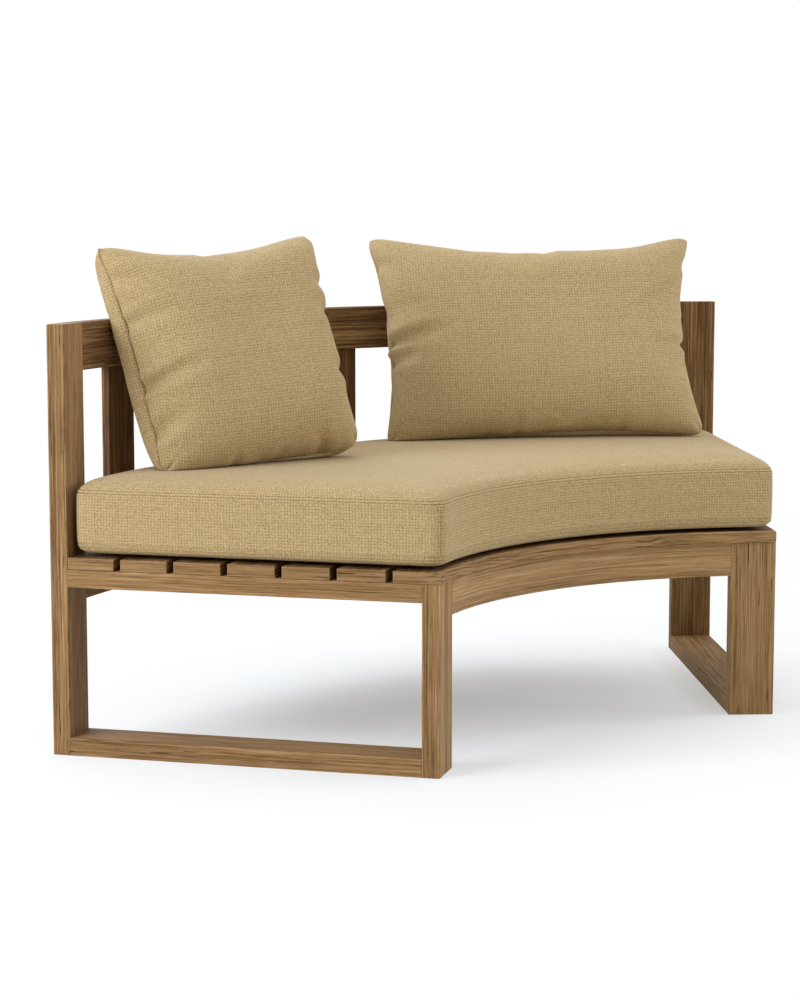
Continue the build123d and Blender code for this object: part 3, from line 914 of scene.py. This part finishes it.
def stuffed(s, t, shape):
    """The front and back panels of a filled pillow at s across and t up, both from -1 to 1.

    The seam is a square with rounded corners. Its sides are drawn in by 1 - |t|^2.4, its tips are
    shifted, and its top sags by 1 - s^2, more on one side where the sag leans. A panel stands off
    it by ((1 - |s|^5)(1 - |t|^n))^0.45 of half the thickness, n 5 above the middle and 2.8 below
    it, and less at a gentle left and on the back. Beside the seam it swells past it.
    """
    width, height, thickness = shape["size"]
    left, right, low, top = (edge * MM for edge in shape["drawn_in"])
    round_low = np.where(t < 0, 2.8, 5.0)
    share = np.clip((1 - np.abs(s) ** 5) * (1 - np.abs(t) ** round_low), 0, 1) ** (1 / 2.2)
    gentle = shape["gentle_left"] * np.clip(-s / 0.4, 0, 1)
    front_share = share * np.clip(1 - np.abs(s) ** 3.5, 0, 1) ** (0.5 * gentle)
    x, y = s * width / 2, t * height / 2
    past_x = np.maximum(np.abs(x) - width / 2 + pillow_corner, 0)
    past_y = np.maximum(np.abs(y) - height / 2 + pillow_corner, 0)
    drawn = 1 - np.maximum(past_x, past_y) / np.maximum(np.hypot(past_x, past_y), 1e-9)
    x, y = x - np.sign(x) * past_x * drawn, y - np.sign(y) * past_y * drawn
    x = x - np.sign(s) * np.abs(s) ** 3 * np.where(s < 0, left, right) * (1 - np.abs(t) ** 2.4)
    y = y - np.sign(t) * np.abs(t) ** 3 * np.where(t < 0, low, top) * (1 - np.abs(s) ** 2.4)
    for (side, level), (dx, dy) in zip(((-1, 1), (1, 1), (1, -1), (-1, -1)), shape["tips"]):
        near = (np.clip((1 + s * side) / 2, 0, 1) * np.clip((1 + t * level) / 2, 0, 1)) ** 3
        x, y = x + near * dx * MM, y + near * dy * MM
    sag = shape["sag"] * MM * (1 - s**2) * (1 - shape["sag_lean"] * s)
    y = y - sag * np.clip((t + 1) / 2, 0, 1) ** 2
    full = np.clip(share / 0.40, 0, 1)
    full = full * full * (3 - 2 * full)
    panels = []
    rises = front_share, -share * shape["back_share"]
    for swells, rise in zip((shape["swell"], shape["back_swell"]), rises):
        west, east, south, north = (past * MM for past in swells)
        out_x = np.where(s < 0, -west, east) * np.abs(s) ** 8 * full * (1 - np.abs(t) ** 3)
        out_y = np.where(t < 0, -south, north) * np.abs(t) ** 8 * full * (1 - np.abs(s) ** 6)
        panels.append(np.stack([x + out_x, y + out_y, thickness / 2 * rise], axis=-1))
    return panels


def two_panels(front, back):
    """One closed skin of two panels that share their rim: its rows, and each panel's numbers."""
    index = numbered(*front.shape[:2])
    back_index = index.copy()
    inner = back_index[1:-1, 1:-1]
    inner[:] = index.size + numbered(*inner.shape)
    width = front.shape[-1]
    rows = np.concatenate([front.reshape(-1, width), back[1:-1, 1:-1].reshape(-1, width)])
    return rows, index, back_index


def crease_depth(x, y, creases):
    """How deep the creases are at points of a panel.

    Across its line, at a of its half width, a crease is exp(-a^2) between two low folds of that
    shape. It widens by a half along its length l and fades by (1.1 - l)^1.3.
    """
    depth = np.zeros_like(x)
    for x0, y0, x1, y1, width, deep in np.array(creases) * MM:
        run_x, run_y = x1 - x0, y1 - y0
        length = hypot(run_x, run_y)
        along = ((x - x0) * run_x + (y - y0) * run_y) / length**2
        aside = ((y - y0) * run_x - (x - x0) * run_y) / length
        spread = width * (1 + 0.5 * np.clip(along, 0, 1))
        fade = np.clip(1.1 - along, 0, 1) ** 1.3
        fade = fade * np.clip(1 + (along + 0.15) * length / 0.02, 0, 1)
        folds = bell(np.abs(aside) - 2 * spread, spread)
        depth = depth + deep * fade * (bell(aside, spread) - 0.45 * folds)
    return depth


def along_rows(points):
    """Lengths along a panel's rows and columns, from its middle, as its weave map."""
    def lengths(axis):
        steps = np.linalg.norm(np.diff(points, axis=axis), axis=-1)
        reach = np.cumsum(np.insert(steps, 0, 0, axis=axis), axis=axis)
        return reach - np.take(reach, [reach.shape[axis] // 2], axis=axis)
    return np.stack([lengths(0), lengths(1)], axis=-1)


def pressed(points):
    """Points of a pillow, pressed off the top rail's inner face and off the seat cushion."""
    x, y, z = points[..., 0], points[..., 1] - centre_y, points[..., 2]
    radius = np.hypot(x, y)
    limit = rail_face - clearance + rail_top_slope * np.maximum(z - back_height, 0)
    inwards = 1 - soft_excess(radius - limit, soft_back) / radius
    rest = cushion_bottom + cushion_thickness + cushion_rise(x, y) + clearance
    z = z + soft_excess(rest - z, soft_bottom)
    return np.stack([x * inwards, y * inwards + centre_y, z], axis=-1)


def pillow(name, shape, seed):
    """Two panels sewn together round their edge, filled by Cloth, creased and pressed to its rest.

    The wrinkles that Cloth makes in a form with few rows go on to the finished form, which has more
    beside its nipped seam. Soft lumps of filling stand off both panels, and the creases go into
    the front along its normals.
    """
    width, height, _ = shape["size"]
    counts = int(pillow_rows * width / height / 2) * 2, pillow_rows
    coarse = [even_rows(count) for count in counts]
    grid = np.broadcast_arrays(coarse[0][:, None], coarse[1][None, :])
    points, index, back_index = two_panels(*stuffed(*grid, shape))
    faces = np.concatenate([patch_faces(index), patch_faces(back_index)[:, ::-1]])
    move = filled(points, faces, pillow_growth, pillow_cap)
    fine, carry = [], []
    for places in coarse:
        last, numbers = places[-2], np.arange(places.size)
        extra = last + (1 - last) * seam_row_shares
        rows = np.sort(np.concatenate([places, extra, -extra]))
        fine.append(rows)
        carry.append(weights(np.interp(rows, places, numbers), numbers, local_carry))
    s, t = np.broadcast_arrays(fine[0][:, None], fine[1][None, :])
    finished, seams = [], []
    for side, form, numbers in zip((1, -1), stuffed(s, t, shape), (index, back_index)):
        local = wrinkles(move[numbers], local_reach)
        local = np.einsum("ai,ijk,bj->abk", carry[0], local, carry[1])
        stand = np.abs(form[..., 2])
        held = (1 - np.exp(-stand / hold_reach))[..., None]
        normal = unit(np.cross(np.gradient(form, axis=0), np.gradient(form, axis=1)) * side)
        lumps = unevenness(form[..., 0], form[..., 1], lump_size, seed + side) * lump_height
        if side > 0:
            lumps = lumps - crease_depth(form[..., 0], form[..., 1], shape["creases"])
        form = form + held * (local + normal * lumps[..., None])
        nip = seam_nip * np.exp(-stand / nip_reach)
        form[..., 0] -= np.sign(s) * np.abs(s) ** 16 * nip
        form[..., 1] -= np.sign(t) * np.abs(t) ** 16 * nip
        finished.append(form)
        # The seam map, by which the cloth is darkened as painted shade near the seam
        seams.append(np.exp(-stand / seam_reach)[..., None])
    points, index, back_index = two_panels(*finished)
    seam = two_panels(*seams)[0][:, 0]
    x, y, z = shape["middle"]
    points = pressed(np.array((x, y + centre_y, z)) + points @ pillow_axes(*shape["angles"]))
    front_faces = patch_faces(index)
    faces = np.concatenate([front_faces, patch_faces(back_index)[:, ::-1]])
    front_map, back_map = (along_rows(points[numbers]) for numbers in (index, back_index))
    weave = np.concatenate([
        corners_of(front_map, front_faces),
        corners_of(back_map + back_weave_shift, front_faces[:, ::-1]),
    ])
    piece = mesh_piece(name, points, faces, name, pillow_cloth, weave, seam)
    subdivided(piece)
    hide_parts(name + "_cover", name + "_pad")


# Teak on the frame

# How many steps of tone a member is darker than the rest: partly the wood's own tone and partly
# painted shade, most on the back uprights, which stand in shade behind the pillows
darker_and_painted_shade = {
    "left_front_leg": -0.03, "right_front_leg": -0.03, "left_back_post": 0.03,
    "right_back_post": 0.15, "front_apron": -0.13, "back_apron": 0.06, "top_rail": 0.26,
    "seat_slat": -0.03, "back_upright": 0.38,
}


def section_of(node, turn=None, arc=None, upright=False):
    """Middle and half size of a member's section, along the same v and w as its grain."""
    x, y, z = places_of(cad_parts[node].data).T
    y = y - centre_y
    if arc:
        v, w = np.hypot(x, y), z
    else:
        _, v, w = grain_axes(x, y, z, turn, upright)
    sides = [(float(part.min()), float(part.max())) for part in (v, w)]
    return tuple(value for low, high in sides for value in ((low + high) / 2, (high - low) / 2))


def dress(node, material):
    """Put a material on a node of the frame."""
    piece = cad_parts[node]
    piece.data.materials.clear()
    piece.data.materials.append(material)


def dress_frame():
    """Teak on each wooden node, with its grain along the member, and steel on the screws."""
    members = {}
    for side, turn in (("left", -half_angle), ("right", half_angle)):
        for upright in ("front_leg", "back_post"):
            members[f"{side}_{upright}"] = dict(turn=turn, upright=True)
        for board in ("bottom_runner", "seat_bearer"):
            members[f"{side}_{board}"] = dict(turn=turn)
        inner_turn = inner_bearer_angle * (turn / half_angle)
        members[f"{side}_inner_bearer"] = dict(turn=inner_turn)
    members["front_apron"] = dict(arc=front_apron_radius)
    members["back_apron"] = members["top_rail"] = dict(arc=back_radius)
    for index in range(slat_count):
        arc = slat_front + index * (slat_width + slat_gap)
        members[f"seat_slat_{index + 1}"] = dict(arc=arc)
    for index in range(upright_count):
        turn = (index - (upright_count - 1) // 2) * upright_pitch
        members[f"back_upright_{index + 1}"] = dict(turn=turn, upright=True)
    for seed, (node, grain) in enumerate(members.items()):
        kind = node.rstrip("_0123456789")
        look = dict(deep=darker_and_painted_shade.get(kind, 0.0), figure=float(node == "seat_slat_1"))
        section = section_of(node, **grain)
        # Seat slats get painted shade where they lie under the cushion
        dress(node, teak("teak_" + node, section, seed=seed + 1.0,
                         slat_shade_painted=kind == "seat_slat", **grain, **look))
    dress("slat_screws", screw_steel())


seat_cloth = cloth("seat_cloth", seat_weave)
pillow_cloth = cloth("pillow_cloth", pillow_weave)
seam_thread = stitching_thread()
dress_frame()
seat_cushion()
pillow("square_pillow", square_pillow, 5)
pillow("lumbar_pillow", lumbar_pillow, 11)


# Floor, light and camera

# The shares of white over the floor's shadow near the bench and further out, and from the bench's
# middle the distances between which that share changes and between which the floor fades
shadow_lift, shadow_lift_out = 0.28, 0.76
shadow_start, shadow_end = 0.25, 0.85
fade_start, fade_end = 1.7, 3.2
floor_reach = 14.0
floor_seen, floor_unseen = (0.85, 0.925, 1.00), (0.72, 0.69, 0.62)
white = (1.0, 1.0, 1.0)
room_light = (0.58, 0.54, 0.45)
lamp_colour = (0.98, 0.99, 1.05)

# Each lamp's place, what it is turned to, its side and its power
lamps = {
    "lamp_above": ((-0.3, -0.3, 3.4), (0.0, 0.0, 0.3), 2.8, 17.0),
    "lamp_left": ((-3.6, 0.2, 1.9), (0.0, 0.0, 0.4), 2.2, 87.0),
    "lamp_right": ((3.4, -2.6, 2.0), (0.0, 0.0, 0.4), 2.2, 75.0),
    "lamp_back": ((0.2, 2.2, 3.0), (0.0, 0.0, 0.4), 2.4, 47.0),
}


def floor():
    """A plain white floor that fades into the white room away from the bench.

    What lights the bench is a pale grey. What the camera sees keeps the bench's shadow, lightened
    by a share of white that grows away from the bench.
    """
    finish = Finish("floor", Roughness=0.9, **{"Specular IOR Level": 0.0})
    seen = finish.seen()
    finish.set(finish.surface, {"Base Color": finish.mix(seen, floor_unseen, floor_seen)})
    x, y, _ = finish.place()
    out = (x * x + y * y).root()
    far = out.over(fade_start, fade_end)
    lift = shadow_lift + out.over(shadow_start, shadow_end) * (shadow_lift_out - shadow_lift)
    share = seen * (lift + far * (1.0 - lift))
    glow = finish.node("Emission", {"Color": (*white, 1.0), "Strength": 1.0})
    blend = finish.node("MixShader", {
        0: share, 1: finish.surface.outputs[0], 2: glow.outputs[0],
    })
    output = next(node for node in finish.tree.nodes if node.type == "OUTPUT_MATERIAL")
    finish.set(output, {"Surface": blend.outputs[0]})
    quarters = np.array(((-1, -1, 0), (1, -1, 0), (1, 1, 0), (-1, 1, 0)))
    ground = placed_mesh("floor", quarters * floor_reach, [(0, 1, 2, 3)])
    ground.data.materials.append(finish.owner)


def studio():
    """An even room, white to the camera, with broad soft lamps above, behind and on both sides."""
    room = Finish("studio", bpy.data.worlds)
    room.set(room.surface, {"Color": room.mix(room.seen(), room_light, white)})
    bpy.context.scene.world = room.owner
    for name, (place, target, side, power) in lamps.items():
        light = bpy.data.lights.new(name, "AREA")
        light.shape, light.size, light.energy, light.color = "SQUARE", side, power, lamp_colour
        x, y, z = np.subtract(target, place)
        lamp = placed(name, light)
        lamp.location, lamp.rotation_euler = place, (atan2(hypot(x, y), -z), 0.0, atan2(-x, y))


def camera():
    """The photograph's viewing point, worked out from the corners of the frame."""
    lens = bpy.data.cameras.new("camera")
    lens.lens, lens.sensor_width, lens.clip_end = 85.636, 36.0, 60.0
    stand = placed("camera", lens)
    stand.location = (-2.7555, -3.2250, 0.8984)
    stand.rotation_euler = (radians(83.014), 0.0, radians(-38.914))
    bpy.context.scene.camera = stand


floor()
studio()
camera()
bpy.context.scene.view_settings.view_transform = "Standard"
bpy.context.view_layer.update()
